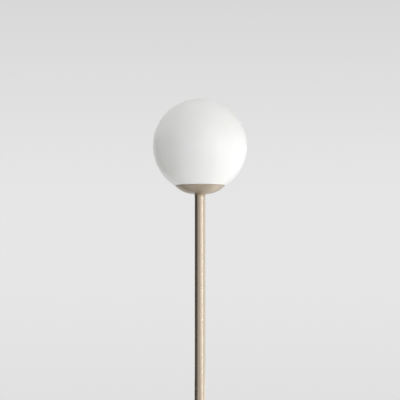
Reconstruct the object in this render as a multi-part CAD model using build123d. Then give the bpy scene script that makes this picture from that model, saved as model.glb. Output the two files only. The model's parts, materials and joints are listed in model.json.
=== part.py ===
"""Globe floor lamp: opal glass ball in a shallow metal cup, on a slim pole and a round weighted foot.

Millimetres. The origin is on the floor under the pole, +Z is up and -Y is the front of the lamp.
Capital names are sizes that can be chosen; small names are worked out from them.
"""
import os
from math import atan2, cos, degrees, hypot, radians, sin, sqrt, tan

from build123d import *

# ---------------------------------------------------------------- sizes
# clearances
SLIP_GAP = 0.05            # turned plug inside a tube, stud inside a threaded bore
HOLE_GAP = 0.3             # bolt or screw shank inside a plain hole
LOOSE_GAP = 0.3            # between pieces that move past each other
CASTING_GAP = 0.5          # rough casting inside a pressed cover

# foot
FOOT_RADIUS = 145.0
PAD_THICKNESS = 2.0
PAD_WIDTH = 26.0
PAD_INSET = 7.0
PLATE_THICKNESS = 1.5
WEIGHT_HEIGHT = 17.0
COVER_WALL = 1.5
COVER_EDGE_RADIUS = 2.5
RECESS_RADIUS = 48.0
RECESS_DEPTH = 12.0
CHANNEL_WIDTH = 14.0
PLATE_SCREW_GAP = 13.0     # from the heads of the plate's screws out to the pad
PLATE_SCREW_COUNT = 4
PLATE_SCREW_START = 45     # degrees
PLATE_SCREW_LENGTH = 10.0

# cord inlet bush
BUSH_BORE_RADIUS = 3.5
BUSH_WALL = 1.3
BUSH_LIP = 1.0
BUSH_LIP_THICKNESS = 4.0

# small screws: shank radius, head radius, head height
SCREW_RADIUS = 2.0
SCREW_HEAD_RADIUS = 4.0
SCREW_HEAD_HEIGHT = 1.6
SCREW_HEAD_EDGE = 0.64
SCREW_SLOT_LENGTH = 1.5    # in head radii, like the slot's width
SCREW_SLOT_WIDTH = 0.25
SCREW_GRIP = 0.7           # share of the iron over the recess that its screws go into
TERMINAL_SCREW_RADIUS = 1.4
TERMINAL_SCREW_HEAD = 2.2

# terminal block, cord clamp and earth lug under the weight
BLOCK_POLE_PITCH = 8.0
BLOCK_POLE_COUNT = 3
BLOCK_DEPTH = 14.0
BLOCK_HEIGHT = 10.0
BLOCK_FRONT = 21.0
BLOCK_BORE_RADIUS = 1.6
BLOCK_BORE_DEPTH = 4.0     # bore axis below the ceiling of the recess
CLAMP_WIDTH = 25.0
CLAMP_DEPTH = 6.0
CLAMP_BAR = 2.5
CLAMP_BEHIND_BLOCK = 4.0
LUG_THICKNESS = 1.0
LUG_RADIUS = 5.0
LUG_CENTRE_X = 31.0
LUG_CENTRE_Y = 12.0
LUG_BARREL_LENGTH = 9.0
LUG_INSERT = 6.3           # how far the earth lead goes into the barrel

# threaded tube that clamps each end of the pole (M10 x 1) and what is screwed on it
NIPPLE_RADIUS = 5.0
NIPPLE_BORE_RADIUS = 3.75
NIPPLE_ENGAGEMENT = 16.0
NUT_ACROSS_FLATS = 17.0
NUT_HEIGHT = 3.0
WASHER_RADIUS = 10.0
WASHER_THICKNESS = 1.0
LOCK_WASHER_RADIUS = 8.5
LOCK_WASHER_THICKNESS = 0.8
NIPPLE_END = 0.5           # how far the threaded tube stands past its nut

# pole
POLE_RADIUS = 12.5
POLE_WALL = 1.5
POLE_SECTION_LENGTH = 625.5
PLUG_LENGTH = 20.0
JOINER_LENGTH = 28.0
JOINER_STUD_RADIUS = 8.0
JOINER_STUD_LENGTH = 16.0
JOINER_BORE_RADIUS = 5.0
COLLAR_HEIGHT = 4.6
COLLAR_OVERHANG = 0.2

# cup under the globe
CUP_RIM_RADIUS = 58.8
CUP_DEPTH = 19.6
CUP_FLAT_RADIUS = 14.0
CUP_WALL = 1.2
CUP_LIP_RADIUS = 0.35

# globe
GLOBE_RADIUS = 110.0
GLASS_WALL = 3.0
GLASS_PROUD = 0.9          # glass stands past the rim of the cup by this much
RIM_GAP = 0.4
NECK_RADIUS = 39.0         # clear radius of the hole in the bottom of the globe
SEAT_RING_WIDTH = 4.0

# gallery with the springs that hold the globe
SPACER_RADIUS = 12.0
SPACER_THICKNESS = 1.5
GALLERY_RADIUS = 24.0
GALLERY_THICKNESS = 1.2
CLIP_COUNT = 3
CLIP_START = 90            # degrees: the first spring is at the back
CLIP_THICKNESS = 0.6
CLIP_WIDTH = 8.0
CLIP_RISE = 5.0            # the spring reaches this far above the edge of the glass
CLIP_FOOT_LENGTH = 8.0
RIVET_RADIUS = 1.6
RIVET_HEAD_RADIUS = 3.0
RIVET_HEAD_HEIGHT = 0.7

# lampholder for a standard 27 mm screw cap
HOLDER_RADIUS = 20.0
HOLDER_CAP_RADIUS = 19.5
HOLDER_CAP_WALL = 2.5
HOLDER_CAP_HEIGHT = 19.5
HOLDER_CAP_FLOOR = 6.4
HOLDER_CAP_FOOT_RADIUS = 10.0
HOLDER_CAP_SHOULDER = 10.0
HOLDER_CAP_FLARE = 0.25    # slope with which the shoulder leaves the foot of the cap
HOLDER_LEDGE = 1.5
CARRIER_THICKNESS = 4.0
TERMINAL_OFFSET = 10.0
TERMINAL_DEPTH = 2.5
CONTACT_THICKNESS = 0.5
CONTACT_WIDTH = 5.0
CONTACT_SPAN = 9.0
CONTACT_RISE = 2.6
SHELL_WALL = 0.5
SHELL_HEIGHT = 29.0
HOLDER_LIP = 2.5
HOLDER_EDGE_RADIUS = 1.5

# bulb
THREAD_PITCH = 3.629
THREAD_OFFSET = 0.55       # half the depth of the rounded thread
CAP_MEAN_RADIUS = 12.7
CAP_WALL = 0.5
CAP_SKIRT_RADIUS = 13.4
CAP_SKIRT_HEIGHT = 3.7
TIP_RADIUS = 4.8
TIP_HEIGHT = 1.5
TIP_EDGE_RADIUS = 0.9
INSULATOR_HEIGHT = 3.0
BULB_RADIUS = 30.0
BULB_LENGTH = 110.0
BULB_WALL = 1.2
BULB_SEAM_DROP = 14.0      # seam of dome and collar below the centre of the dome
BULB_COLLAR_RADIUS = 14.0
BULB_COLLAR_WALL = 1.5
LED_BOARD_THICKNESS = 1.6
DRIVER_BOARD_WIDTH = 18.0
DRIVER_BOARD_HEADROOM = 4.8
DRIVER_BOARD_THICKNESS = 1.6

# inner leads
LEAD_RADIUS = 1.0
LEAD_OFFSET = 1.5          # each lead beside the axis of the pole
LEAD_FLOOR_GAP = 0.7
LEAD_INSERT = 3.5
LEAD_BEND_SHARE = 0.45     # share of a straight run that the bend at its end may take

# ---------------------------------------------------------------- places worked out from the sizes
# foot, from the floor up
plate_bottom = PAD_THICKNESS
pad_outer_radius = FOOT_RADIUS - PAD_INSET
pad_inner_radius = pad_outer_radius - PAD_WIDTH
plate_screw_circle = pad_inner_radius - PLATE_SCREW_GAP - SCREW_HEAD_RADIUS
weight_bottom = plate_bottom + PLATE_THICKNESS
recess_top = weight_bottom + RECESS_DEPTH
weight_top = weight_bottom + WEIGHT_HEIGHT
foot_top = weight_top + COVER_WALL
cover_inner_radius = FOOT_RADIUS - COVER_WALL
weight_radius = cover_inner_radius - CASTING_GAP
plate_radius = cover_inner_radius - LOOSE_GAP
nipple_hole_radius = NIPPLE_RADIUS + HOLE_GAP
thread_bore_radius = NIPPLE_RADIUS + SLIP_GAP
foot_lock_top = recess_top - WASHER_THICKNESS
foot_nut_top = foot_lock_top - LOCK_WASHER_THICKNESS
foot_nipple_bottom = foot_nut_top - NUT_HEIGHT - NIPPLE_END
inlet_height = weight_bottom + RECESS_DEPTH / 2
bush_radius = BUSH_BORE_RADIUS + BUSH_WALL
block_width = BLOCK_POLE_PITCH * BLOCK_POLE_COUNT
block_back = BLOCK_FRONT + BLOCK_DEPTH
block_bore_height = recess_top - BLOCK_BORE_DEPTH
clamp_centre_y = block_back + CLAMP_BEHIND_BLOCK + CLAMP_DEPTH / 2
clamp_screw_x = (CLAMP_WIDTH / 2 + BUSH_BORE_RADIUS) / 2

# pole, upwards from the foot
pole_bore_radius = POLE_RADIUS - POLE_WALL
plug_radius = pole_bore_radius - SLIP_GAP
pole_seam = foot_top + POLE_SECTION_LENGTH
pole_top = pole_seam + POLE_SECTION_LENGTH

# cup: flat bottom, then one arc that runs off it smoothly up to the rim
cup_bottom = pole_top + COLLAR_HEIGHT
cup_rim = cup_bottom + CUP_DEPTH
cup_arc_radius = ((CUP_RIM_RADIUS - CUP_FLAT_RADIUS) ** 2 + CUP_DEPTH ** 2) / (2 * CUP_DEPTH)
cup_arc_height = cup_bottom + cup_arc_radius
cup_inner_arc = cup_arc_radius - CUP_WALL
cup_floor = cup_bottom + CUP_WALL
cup_inner_rim = CUP_FLAT_RADIUS + sqrt(cup_inner_arc ** 2 - (cup_arc_height - cup_rim) ** 2)

# globe: the full ball ends in a ledge just above the rim, and a smaller ball goes on inside the cup
ledge_radius = CUP_RIM_RADIUS + GLASS_PROUD
ledge_drop = sqrt(GLOBE_RADIUS ** 2 - ledge_radius ** 2)
globe_centre = cup_rim + RIM_GAP + ledge_drop
sunk_radius = hypot(cup_inner_rim - LOOSE_GAP, globe_centre - cup_rim)
neck_outer_radius = NECK_RADIUS + GLASS_WALL
glass_bottom = globe_centre - sqrt(sunk_radius ** 2 - neck_outer_radius ** 2)
seat_ring_top = glass_bottom - LOOSE_GAP

# gallery and lampholder, upwards from the floor of the cup
gallery_bottom = cup_floor + SPACER_THICKNESS
gallery_top = gallery_bottom + GALLERY_THICKNESS
head_nut_bottom = gallery_top + LOCK_WASHER_THICKNESS
holder_bottom = head_nut_bottom + NUT_HEIGHT + NIPPLE_END
holder_floor = holder_bottom + HOLDER_CAP_FLOOR
holder_seam = holder_bottom + HOLDER_CAP_HEIGHT
carrier_bottom = holder_seam - HOLDER_LEDGE
carrier_top = carrier_bottom + CARRIER_THICKNESS
carrier_radius = HOLDER_CAP_RADIUS - HOLDER_CAP_WALL
contact_top = carrier_top + CONTACT_RISE
shell_top = carrier_top + SHELL_HEIGHT
holder_top = shell_top + HOLDER_LIP
shell_inner_radius = CAP_MEAN_RADIUS + LOOSE_GAP
shell_outer_radius = shell_inner_radius + SHELL_WALL
holder_bore_radius = shell_outer_radius + THREAD_OFFSET + LOOSE_GAP

# bulb, upwards from the contact
bulb_bottom = contact_top + LOOSE_GAP
insulator_bottom = bulb_bottom + TIP_HEIGHT
insulator_top = insulator_bottom + INSULATOR_HEIGHT
bulb_cap_bottom = insulator_top + LOOSE_GAP
skirt_bottom = shell_top + LOOSE_GAP
bulb_cap_top = skirt_bottom + CAP_SKIRT_HEIGHT
bulb_centre = bulb_bottom + BULB_LENGTH - BULB_RADIUS
bulb_seam = bulb_centre - BULB_SEAM_DROP
bulb_seam_radius = sqrt(BULB_RADIUS ** 2 - BULB_SEAM_DROP ** 2)

BASE = (Align.CENTER, Align.CENTER, Align.MIN)
HANG = (Align.CENTER, Align.CENTER, Align.MAX)


# ---------------------------------------------------------------- shared shapes
def rod(radius, bottom, top):
    """Upright round bar on the axis between two heights."""
    return Pos(0, 0, bottom) * Cylinder(radius, top - bottom, align=BASE)


def sleeve(outer, inner, bottom, top):
    """Upright tube, ring or washer on the axis between two heights."""
    return rod(outer, bottom, top) - rod(inner, bottom, top)


def turned(outline):
    """Solid turned about the axis from a closed outline in (radius, height)."""
    return revolve(Plane.XZ * make_face(outline), Axis.Z)


def turned_points(points):
    """Solid turned about the axis from straight-sided (radius, height) corners."""
    return turned(Polyline(*points, close=True))


def around(shape, count, start=0.0):
    """The same shape repeated evenly about the axis."""
    return [Rot(0, 0, start + 360 / count * index) * shape for index in range(count)]


def bar_along_y(radius, length):
    """Round bar along Y with its middle at the origin."""
    return Rot(90, 0, 0) * Cylinder(radius, length)


def hex_nut(bottom):
    """Thin hexagon nut on the threaded tube."""
    corner_radius = NUT_ACROSS_FLATS / 2 / cos(radians(30))
    blank = Pos(0, 0, bottom) * extrude(RegularPolygon(corner_radius, 6), NUT_HEIGHT)
    bevel = turned_points([
        (0, bottom),
        (NUT_ACROSS_FLATS / 2, bottom),
        (corner_radius, bottom + NUT_HEIGHT / 4),
        (corner_radius, bottom + NUT_HEIGHT * 3 / 4),
        (NUT_ACROSS_FLATS / 2, bottom + NUT_HEIGHT),
        (0, bottom + NUT_HEIGHT),
    ])
    return (blank & bevel) - rod(thread_bore_radius, bottom, bottom + NUT_HEIGHT)


def lock_washer(bottom):
    """Split spring washer."""
    washer = sleeve(LOCK_WASHER_RADIUS, nipple_hole_radius, bottom, bottom + LOCK_WASHER_THICKNESS)
    split = Pos(LOCK_WASHER_RADIUS, 0, bottom) * Box(
        LOCK_WASHER_RADIUS * 2, LOCK_WASHER_THICKNESS, LOCK_WASHER_THICKNESS, align=BASE)
    return washer - split


def screw_up(x, y, seat, length, shank=SCREW_RADIUS, head=SCREW_HEAD_RADIUS):
    """Pan-head screw driven upwards: the head hangs below its seat, the shank stands above it."""
    pan = Pos(x, y, seat) * Cylinder(head, SCREW_HEAD_HEIGHT, align=HANG)
    pan = fillet(pan.edges().sort_by(Axis.Z)[0], SCREW_HEAD_EDGE)
    slot = Pos(x, y, seat - SCREW_HEAD_HEIGHT) * Box(
        SCREW_SLOT_LENGTH * head, SCREW_SLOT_WIDTH * head, SCREW_HEAD_HEIGHT / 2, align=BASE)
    return pan + Pos(x, y, seat) * Cylinder(shank, length, align=BASE) - slot


def tapped_hole(x, y, seat, length, shank=SCREW_RADIUS):
    """The hole that a screw's shank fills, a little deeper than the shank."""
    return Pos(x, y, seat) * Cylinder(shank + SLIP_GAP, length + HOLE_GAP, align=BASE)


def thread_core(radius, bottom, top):
    """Rounded screw thread: a disc whose centre circles the axis once per pitch as it rises."""
    start_angle = 360 * bottom / THREAD_PITCH
    helix = Helix(THREAD_PITCH, top - bottom, THREAD_OFFSET)
    path = Pos(0, 0, bottom) * Rot(0, 0, start_angle) * helix
    return sweep(Pos(*(path @ 0)) * Circle(radius), path=path, normal=(0, 0, 1))


def corner_radii(points):
    """Bend radius at each corner of a lead: as large as its two runs allow."""
    radii = []
    for before, corner, after in zip(points, points[1:], points[2:]):
        run_in = Vector(*corner) - Vector(*before)
        run_out = Vector(*after) - Vector(*corner)
        half_turn = radians(run_in.get_angle(run_out)) / 2
        radii.append(LEAD_BEND_SHARE * min(run_in.length, run_out.length) / tan(half_turn))
    return radii


def lead(points):
    """Insulated wire along straight runs joined by tangent arcs."""
    radii = corner_radii(points)
    print("lead bend radii", [round(radius, 1) for radius in radii])
    path = FilletPolyline(*points, radius=radii)
    return sweep(Plane(path @ 0, z_dir=path % 0) * Circle(LEAD_RADIUS), path=path)


# ---------------------------------------------------------------- foot
def plate_screw_places():
    """Centres of the screws that hold the bottom plate to the weight."""
    step = 360 / PLATE_SCREW_COUNT
    angles = [radians(PLATE_SCREW_START + step * index) for index in range(PLATE_SCREW_COUNT)]
    return [(plate_screw_circle * cos(angle), plate_screw_circle * sin(angle)) for angle in angles]


def floor_pad():
    """Soft ring under the bottom plate, the only thing that touches the floor."""
    return sleeve(pad_outer_radius, pad_inner_radius, 0, PAD_THICKNESS)


def bottom_plate():
    """Steel plate that closes the foot from below."""
    plate = rod(plate_radius, plate_bottom, weight_bottom)
    for x, y in plate_screw_places():
        plate -= Pos(x, y, plate_bottom) * Cylinder(SCREW_RADIUS + HOLE_GAP, PLATE_THICKNESS, align=BASE)
    return plate


def plate_screws():
    """Screws through the bottom plate into the weight."""
    shank = PLATE_THICKNESS + PLATE_SCREW_LENGTH
    return [screw_up(x, y, plate_bottom, shank) for x, y in plate_screw_places()]


def base_weight():
    """Cast iron disc with a wiring recess and a channel to the back for the cord."""
    disc = rod(weight_radius, weight_bottom, weight_top)
    disc = fillet(disc.edges().sort_by(Axis.Z)[-1], COVER_EDGE_RADIUS)
    disc -= rod(RECESS_RADIUS, weight_bottom, recess_top)
    channel = Box(
        CHANNEL_WIDTH, cover_inner_radius, RECESS_DEPTH, align=(Align.CENTER, Align.MIN, Align.MIN))
    disc -= Pos(0, 0, weight_bottom) * channel
    disc -= rod(nipple_hole_radius, recess_top, weight_top)
    for x, y in plate_screw_places():
        disc -= tapped_hole(x, y, weight_bottom, PLATE_SCREW_LENGTH)
    for x, y in fixing_screw_places():
        disc -= tapped_hole(x, y, recess_top, fixing_screw_grip())
    return disc


def base_cover():
    """Pressed steel cover that gives the foot its smooth top and side."""
    shell = rod(FOOT_RADIUS, plate_bottom, foot_top)
    shell = fillet(shell.edges().sort_by(Axis.Z)[-1], COVER_EDGE_RADIUS)
    hollow = rod(cover_inner_radius, plate_bottom, weight_top)
    hollow = fillet(hollow.edges().sort_by(Axis.Z)[-1], COVER_EDGE_RADIUS - COVER_WALL)
    shell -= hollow
    shell -= rod(nipple_hole_radius, weight_top, foot_top)
    inlet = bar_along_y(bush_radius + SLIP_GAP, 4 * COVER_WALL)
    return shell - Pos(0, cover_inner_radius, inlet_height) * inlet


def cord_bush():
    """Plastic bush in the back of the cover where the cord comes in."""
    outer_end = FOOT_RADIUS - 2 * SLIP_GAP
    lip_end = sqrt(cover_inner_radius ** 2 - (bush_radius + BUSH_LIP) ** 2) - SLIP_GAP
    inner_end = lip_end - BUSH_LIP_THICKNESS
    tube = Plane.XZ.offset(-inner_end) * Circle(bush_radius)
    flange = Plane.XZ.offset(-inner_end) * Circle(bush_radius + BUSH_LIP)
    bore = Plane.XZ.offset(-inner_end) * Circle(BUSH_BORE_RADIUS)
    bush = extrude(tube, inner_end - outer_end) + extrude(flange, -BUSH_LIP_THICKNESS)
    return Pos(0, 0, inlet_height) * (bush - extrude(bore, inner_end - outer_end))


def fixing_screw_grip():
    """How deep the screws of clamp, block and lug go into the weight above the recess."""
    return (WEIGHT_HEIGHT - RECESS_DEPTH) * SCREW_GRIP


def clamp_screw_places():
    return [(-clamp_screw_x, clamp_centre_y), (clamp_screw_x, clamp_centre_y)]


def block_screw_place():
    """The block is held by one screw between its first two poles."""
    return (-BLOCK_POLE_PITCH / 2, BLOCK_FRONT + BLOCK_DEPTH / 2)


def fixing_screw_places():
    """Every screw that goes up into the ceiling of the recess."""
    return clamp_screw_places() + [block_screw_place(), (LUG_CENTRE_X, LUG_CENTRE_Y)]


def cord_clamp():
    """Saddle that presses the cord against the ceiling of the recess."""
    height = 2 * BUSH_BORE_RADIUS + CLAMP_BAR
    saddle = Pos(0, clamp_centre_y, recess_top) * Box(CLAMP_WIDTH, CLAMP_DEPTH, height, align=HANG)
    tunnel = Pos(0, clamp_centre_y, recess_top) * Box(
        2 * BUSH_BORE_RADIUS, CLAMP_DEPTH, 2 * BUSH_BORE_RADIUS, align=HANG)
    saddle -= tunnel
    for x, y in clamp_screw_places():
        saddle -= Pos(x, y, recess_top) * Cylinder(TERMINAL_SCREW_RADIUS + HOLE_GAP, height, align=HANG)
    return saddle


def clamp_screws():
    """Screws through the saddle into the weight."""
    height = 2 * BUSH_BORE_RADIUS + CLAMP_BAR
    length = height + fixing_screw_grip()
    return [screw_up(x, y, recess_top - height, length, TERMINAL_SCREW_RADIUS, TERMINAL_SCREW_HEAD)
            for x, y in clamp_screw_places()]


def block_pole_places():
    """Cross positions of the terminal block's poles: live, neutral and earth."""
    first = -BLOCK_POLE_PITCH * (BLOCK_POLE_COUNT - 1) / 2
    return [first + BLOCK_POLE_PITCH * index for index in range(BLOCK_POLE_COUNT)]


def terminal_screw_rows():
    """The two rows of terminal screws, one for each side of the block."""
    return [BLOCK_FRONT + BLOCK_DEPTH / 4, BLOCK_FRONT + BLOCK_DEPTH * 3 / 4]


def terminal_block():
    """Three-pole connector that joins the cord to the inner leads."""
    block_middle = BLOCK_FRONT + BLOCK_DEPTH / 2
    block = Pos(0, block_middle, recess_top) * Box(block_width, BLOCK_DEPTH, BLOCK_HEIGHT, align=HANG)
    for x in block_pole_places():
        block -= Pos(x, block_middle, block_bore_height) * bar_along_y(BLOCK_BORE_RADIUS, BLOCK_DEPTH)
        for y in terminal_screw_rows():
            block -= Pos(x, y, recess_top - BLOCK_HEIGHT) * Cylinder(
                TERMINAL_SCREW_HEAD + HOLE_GAP, BLOCK_HEIGHT - BLOCK_BORE_DEPTH, align=BASE)
    x, y = block_screw_place()
    screw_hole = Cylinder(TERMINAL_SCREW_RADIUS + HOLE_GAP, BLOCK_HEIGHT, align=HANG)
    return block - Pos(x, y, recess_top) * screw_hole


def terminal_screws():
    """Slotted grub screws that press on the leads inside the block."""
    bottom = recess_top - BLOCK_HEIGHT
    top = block_bore_height - LEAD_RADIUS
    slot = Box(2 * TERMINAL_SCREW_HEAD, TERMINAL_SCREW_HEAD / 3, (top - bottom) / 3, align=BASE)
    grub = Cylinder(TERMINAL_SCREW_HEAD, top - bottom, align=BASE) - slot
    return [Pos(x, y, bottom) * grub for x in block_pole_places() for y in terminal_screw_rows()]


def block_screw():
    """Screw that holds the terminal block to the ceiling of the recess."""
    x, y = block_screw_place()
    length = BLOCK_HEIGHT + fixing_screw_grip()
    return screw_up(x, y, recess_top - BLOCK_HEIGHT, length, TERMINAL_SCREW_RADIUS, TERMINAL_SCREW_HEAD)


def lug_barrel_height():
    return recess_top - LEAD_RADIUS - LUG_THICKNESS


def earth_lug():
    """Ring tongue under its screw, with a crimped barrel for the earth lead."""
    ring = Pos(LUG_CENTRE_X, LUG_CENTRE_Y, recess_top) * Cylinder(LUG_RADIUS, LUG_THICKNESS, align=HANG)
    barrel_end = LUG_CENTRE_X - LUG_RADIUS + LUG_THICKNESS
    barrel = Pos(barrel_end, LUG_CENTRE_Y, lug_barrel_height()) * Rot(0, -90, 0) * Cylinder(
        LEAD_RADIUS + LUG_THICKNESS, LUG_BARREL_LENGTH, align=BASE)
    bore = Pos(barrel_end, LUG_CENTRE_Y, lug_barrel_height()) * Rot(0, -90, 0) * Cylinder(
        LEAD_RADIUS + SLIP_GAP, LUG_BARREL_LENGTH, align=BASE)
    screw_hole = Pos(LUG_CENTRE_X, LUG_CENTRE_Y, recess_top) * Cylinder(
        TERMINAL_SCREW_RADIUS + HOLE_GAP, LUG_THICKNESS, align=HANG)
    return ring + barrel - bore - screw_hole


def earth_screw():
    """Screw that presses the earth lug on bare iron."""
    length = LUG_THICKNESS + fixing_screw_grip()
    seat = recess_top - LUG_THICKNESS
    return screw_up(LUG_CENTRE_X, LUG_CENTRE_Y, seat, length, TERMINAL_SCREW_RADIUS, TERMINAL_SCREW_HEAD)


def foot_washer():
    return sleeve(WASHER_RADIUS, nipple_hole_radius, foot_lock_top, recess_top)


def foot_nipple():
    """Threaded tube that pulls the pole down on the cover and the weight."""
    return sleeve(NIPPLE_RADIUS, NIPPLE_BORE_RADIUS, foot_nipple_bottom, foot_top + NIPPLE_ENGAGEMENT)


# ---------------------------------------------------------------- pole
def pole_section(bottom):
    """One length of round steel tube."""
    return sleeve(POLE_RADIUS, pole_bore_radius, bottom, bottom + POLE_SECTION_LENGTH)


def foot_plug():
    """Threaded plug fixed in the lower end of the pole."""
    return sleeve(plug_radius, thread_bore_radius, foot_top, foot_top + PLUG_LENGTH)


def head_plug():
    """Threaded plug fixed in the upper end of the pole."""
    return sleeve(plug_radius, thread_bore_radius, pole_top - PLUG_LENGTH, pole_top)


def pole_socket():
    """Threaded socket fixed in the top of the lower pole section."""
    body = sleeve(plug_radius, JOINER_BORE_RADIUS, pole_seam - JOINER_LENGTH, pole_seam)
    return body - rod(JOINER_STUD_RADIUS, pole_seam - JOINER_STUD_LENGTH - HOLE_GAP, pole_seam)


def pole_stud():
    """Threaded stud fixed in the bottom of the upper pole section and screwed into the socket."""
    body = rod(plug_radius, pole_seam, pole_seam + JOINER_LENGTH)
    body += rod(JOINER_STUD_RADIUS - SLIP_GAP, pole_seam - JOINER_STUD_LENGTH, pole_seam)
    return body - rod(JOINER_BORE_RADIUS, pole_seam - JOINER_STUD_LENGTH, pole_seam + JOINER_LENGTH)


def neck_collar():
    """Short turned collar between the pole and the cup."""
    collar = sleeve(POLE_RADIUS + COLLAR_OVERHANG, nipple_hole_radius, pole_top, cup_bottom)
    return chamfer(collar.edges().filter_by(GeomType.CIRCLE).group_by(SortBy.RADIUS)[-1], COLLAR_OVERHANG)


def head_nipple():
    """Threaded tube that holds cup, gallery and lampholder on the pole."""
    return sleeve(NIPPLE_RADIUS, NIPPLE_BORE_RADIUS, pole_top - NIPPLE_ENGAGEMENT, holder_floor)


# ---------------------------------------------------------------- cup and gallery
def cup_arc(radius, height):
    """Arc of the cup's side at one of its two radii, from the flat up to a height."""
    reach = sqrt(radius ** 2 - (cup_arc_height - height) ** 2)
    angle = degrees(atan2(height - cup_arc_height, reach))
    return CenterArc((CUP_FLAT_RADIUS, cup_arc_height), radius, -90, angle + 90)


def cup_cavity(top):
    """The space inside the cup up to a height."""
    side = cup_arc(cup_inner_arc, top)
    edge = (side @ 1).X
    floor = Line((0, cup_floor), (CUP_FLAT_RADIUS, cup_floor))
    lid = Polyline((edge, top), (0, top), (0, cup_floor))
    return turned(floor + side + lid)


def lamp_cup():
    """Shallow spun cup that carries the globe."""
    side = cup_arc(cup_arc_radius, cup_rim)
    floor = Line((0, cup_bottom), (CUP_FLAT_RADIUS, cup_bottom))
    lid = Polyline((CUP_RIM_RADIUS, cup_rim), (0, cup_rim), (0, cup_bottom))
    cup = turned(floor + side + lid) - cup_cavity(cup_rim)
    rim_edges = cup.edges().filter_by(GeomType.CIRCLE).group_by(Axis.Z)[-1]
    cup = fillet(rim_edges, CUP_LIP_RADIUS)
    return cup - rod(nipple_hole_radius, cup_bottom, cup_floor)


def seat_ring():
    """Silicone ring in the cup that the edge of the glass rests on."""
    outer = NECK_RADIUS + SEAT_RING_WIDTH
    return sleeve(outer, NECK_RADIUS, cup_floor, seat_ring_top) & cup_cavity(seat_ring_top)


def spacer_washer():
    return sleeve(SPACER_RADIUS, nipple_hole_radius, cup_floor, gallery_bottom)


def rivet_place():
    """Distance of the rivets from the axis."""
    return GALLERY_RADIUS - CLIP_FOOT_LENGTH / 2


def rivet_hole(bottom, depth):
    """What the hole of a rivet takes away from the gallery or from a spring."""
    return Pos(rivet_place(), 0, bottom) * Cylinder(RIVET_RADIUS + SLIP_GAP, depth, align=BASE)


def gallery_plate():
    """Round steel plate that carries the springs."""
    plate = sleeve(GALLERY_RADIUS, nipple_hole_radius, gallery_bottom, gallery_top)
    for hole in around(rivet_hole(gallery_bottom, GALLERY_THICKNESS), CLIP_COUNT, CLIP_START):
        plate -= hole
    return plate


def spring_clip():
    """Bent spring strip: flat foot on the gallery, then out and up inside the hole of the glass."""
    middle = gallery_top + CLIP_THICKNESS / 2
    reach = NECK_RADIUS - LOOSE_GAP - CLIP_THICKNESS / 2
    knee = glass_bottom - 2 * CLIP_THICKNESS
    tip = glass_bottom + CLIP_RISE
    centre_line = FilletPolyline(
        (GALLERY_RADIUS - CLIP_FOOT_LENGTH, middle),
        (GALLERY_RADIUS, middle),
        (reach, knee),
        (reach, tip - CLIP_RISE / 3),
        (reach - CLIP_RISE / 2, tip + CLIP_RISE / 3),
        radius=2 * CLIP_THICKNESS)
    strip = extrude(Plane.XZ * trace(centre_line, CLIP_THICKNESS), CLIP_WIDTH / 2, both=True)
    return strip - rivet_hole(gallery_top, CLIP_THICKNESS)


def clip_rivet():
    """Rivet through the gallery and the foot of one spring."""
    bottom = gallery_bottom - RIVET_HEAD_HEIGHT
    top = gallery_top + CLIP_THICKNESS + RIVET_HEAD_HEIGHT
    shank = Cylinder(RIVET_RADIUS, top - bottom, align=BASE)
    lower_head = Cylinder(RIVET_HEAD_RADIUS, RIVET_HEAD_HEIGHT, align=BASE)
    upper_head = Pos(0, 0, top - bottom - RIVET_HEAD_HEIGHT) * lower_head
    return Pos(rivet_place(), 0, bottom) * (shank + lower_head + upper_head)


# ---------------------------------------------------------------- globe
def ball(radius):
    """Ball about the centre of the globe."""
    return Pos(0, 0, globe_centre) * Sphere(radius)


def glass_globe():
    """Opal glass ball with a ledge over the rim of the cup and a ground hole in the bottom."""
    ledge = cup_rim + RIM_GAP
    everything = 2 * GLOBE_RADIUS
    upper = ball(GLOBE_RADIUS) & rod(everything, ledge, globe_centre + everything)
    lower = ball(sunk_radius) & rod(everything, glass_bottom, ledge)
    inside = ball(GLOBE_RADIUS - GLASS_WALL)
    neck = rod(NECK_RADIUS, glass_bottom, globe_centre)
    return (upper + lower) - inside - neck


# ---------------------------------------------------------------- lampholder
def terminal_sides():
    """Direction of the live and the neutral terminal along X."""
    return (-1, 1)


def lampholder_cap():
    """Lower half of the lampholder, screwed on the threaded tube."""
    outside = turned(
        Polyline((0, holder_bottom), (HOLDER_CAP_FOOT_RADIUS, holder_bottom))
        + TangentArc(
            (HOLDER_CAP_FOOT_RADIUS, holder_bottom),
            (HOLDER_CAP_RADIUS, holder_bottom + HOLDER_CAP_SHOULDER),
            tangent=(1, HOLDER_CAP_FLARE))
        + Polyline(
            (HOLDER_CAP_RADIUS, holder_bottom + HOLDER_CAP_SHOULDER),
            (HOLDER_CAP_RADIUS, holder_seam),
            (0, holder_seam),
            (0, holder_bottom)))
    chamber = rod(carrier_radius - HOLDER_LEDGE, holder_floor, carrier_bottom)
    pocket = rod(carrier_radius + SLIP_GAP, carrier_bottom, holder_seam)
    return outside - rod(thread_bore_radius, holder_bottom, holder_floor) - chamber - pocket


def lampholder_body():
    """Upper half of the lampholder, round the screw shell."""
    body = rod(HOLDER_RADIUS, holder_seam, holder_top)
    body = fillet(body.edges().sort_by(Axis.Z)[-1], HOLDER_EDGE_RADIUS)
    body -= rod(holder_bore_radius, holder_seam, holder_top)
    return body - rod(carrier_radius + SLIP_GAP, holder_seam, carrier_top)


def contact_carrier():
    """Ceramic disc that holds the contacts and the terminals."""
    disc = rod(carrier_radius, carrier_bottom, carrier_top)
    for side in terminal_sides():
        x = side * TERMINAL_OFFSET
        disc -= Pos(x, 0, carrier_bottom) * Cylinder(LEAD_RADIUS + SLIP_GAP, TERMINAL_DEPTH, align=BASE)
        disc -= Pos(x, terminal_screw_y(), carrier_bottom) * Cylinder(
            TERMINAL_SCREW_RADIUS + SLIP_GAP, TERMINAL_DEPTH + HOLE_GAP, align=BASE)
    return disc


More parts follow.
